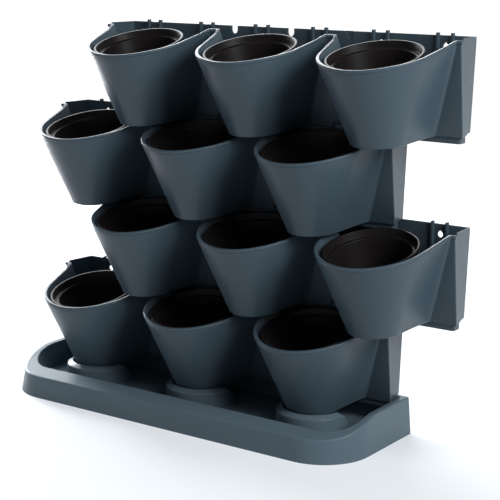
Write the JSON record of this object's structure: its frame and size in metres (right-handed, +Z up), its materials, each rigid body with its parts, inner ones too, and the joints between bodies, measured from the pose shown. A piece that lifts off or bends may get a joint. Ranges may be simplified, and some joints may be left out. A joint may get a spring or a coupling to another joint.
{
  "type": "vertical planter tower",
  "caption": "Stacked, staggered planter rows with round pockets, loose inner pots and a long drip tray, for standing against a wall.",
  "frame": {"origin": "on the floor, under the middle of the whole tower", "axes": "+X along the rows, to the right seen from the planted front; +Y towards the wall; +Z up"},
  "size_m": [0.6852, 0.1876, 0.5491],
  "materials": {
    "planter_plastic": "satin blue-grey anthracite",
    "tray_plastic": "satin blue-grey anthracite",
    "pot_plastic": "satin black-brown"
  },
  "bodies": {
    "tray": {"drip_tray": "tray_plastic"},
    "row_1": {"row_1_planter": "planter_plastic"},
    "row_2": {"row_2_planter": "planter_plastic"},
    "row_3": {"row_3_planter": "planter_plastic"},
    "row_4": {"row_4_planter": "planter_plastic"},
    "pot_row_1_left": {"inner_pot_row_1_left": "pot_plastic"},
    "pot_row_1_middle": {"inner_pot_row_1_middle": "pot_plastic"},
    "pot_row_1_right": {"inner_pot_row_1_right": "pot_plastic"},
    "pot_row_2_left": {"inner_pot_row_2_left": "pot_plastic"},
    "pot_row_2_middle": {"inner_pot_row_2_middle": "pot_plastic"},
    "pot_row_2_right": {"inner_pot_row_2_right": "pot_plastic"},
    "pot_row_3_left": {"inner_pot_row_3_left": "pot_plastic"},
    "pot_row_3_middle": {"inner_pot_row_3_middle": "pot_plastic"},
    "pot_row_3_right": {"inner_pot_row_3_right": "pot_plastic"},
    "pot_row_4_left": {"inner_pot_row_4_left": "pot_plastic"},
    "pot_row_4_middle": {"inner_pot_row_4_middle": "pot_plastic"},
    "pot_row_4_right": {"inner_pot_row_4_right": "pot_plastic"}
  },
  "joints": [
    {"name": "row_1_lift", "type": "slide", "parent": "tray", "child": "row_1", "axis": [0, 0, 1], "range_m": [0, 0.06]},
    {"name": "row_2_lift", "type": "slide", "parent": "row_1", "child": "row_2", "axis": [0, 0, 1], "range_m": [0, 0.06]},
    {"name": "row_3_lift", "type": "slide", "parent": "row_2", "child": "row_3", "axis": [0, 0, 1], "range_m": [0, 0.06]},
    {"name": "row_4_lift", "type": "slide", "parent": "row_3", "child": "row_4", "axis": [0, 0, 1], "range_m": [0, 0.06]},
    {"name": "pot_row_1_left_lift", "type": "slide", "parent": "row_1", "child": "pot_row_1_left", "axis": [0, -0.2423, 0.9702], "range_m": [0, 0.003]},
    {"name": "pot_row_1_middle_lift", "type": "slide", "parent": "row_1", "child": "pot_row_1_middle", "axis": [0, -0.2423, 0.9702], "range_m": [0, 0.003]},
    {"name": "pot_row_1_right_lift", "type": "slide", "parent": "row_1", "child": "pot_row_1_right", "axis": [0, -0.2423, 0.9702], "range_m": [0, 0.003]},
    {"name": "pot_row_2_left_lift", "type": "slide", "parent": "row_2", "child": "pot_row_2_left", "axis": [0, -0.2423, 0.9702], "range_m": [0, 0.003]},
    {"name": "pot_row_2_middle_lift", "type": "slide", "parent": "row_2", "child": "pot_row_2_middle", "axis": [0, -0.2423, 0.9702], "range_m": [0, 0.003]},
    {"name": "pot_row_2_right_lift", "type": "slide", "parent": "row_2", "child": "pot_row_2_right", "axis": [0, -0.2423, 0.9702], "range_m": [0, 0.003]},
    {"name": "pot_row_3_left_lift", "type": "slide", "parent": "row_3", "child": "pot_row_3_left", "axis": [0, -0.2423, 0.9702], "range_m": [0, 0.003]},
    {"name": "pot_row_3_middle_lift", "type": "slide", "parent": "row_3", "child": "pot_row_3_middle", "axis": [0, -0.2423, 0.9702], "range_m": [0, 0.003]},
    {"name": "pot_row_3_right_lift", "type": "slide", "parent": "row_3", "child": "pot_row_3_right", "axis": [0, -0.2423, 0.9702], "range_m": [0, 0.003]},
    {"name": "pot_row_4_left_lift", "type": "slide", "parent": "row_4", "child": "pot_row_4_left", "axis": [0, -0.2423, 0.9702], "range_m": [0, 0.12]},
    {"name": "pot_row_4_middle_lift", "type": "slide", "parent": "row_4", "child": "pot_row_4_middle", "axis": [0, -0.2423, 0.9702], "range_m": [0, 0.12]},
    {"name": "pot_row_4_right_lift", "type": "slide", "parent": "row_4", "child": "pot_row_4_right", "axis": [0, -0.2423, 0.9702], "range_m": [0, 0.12]}
  ]
}
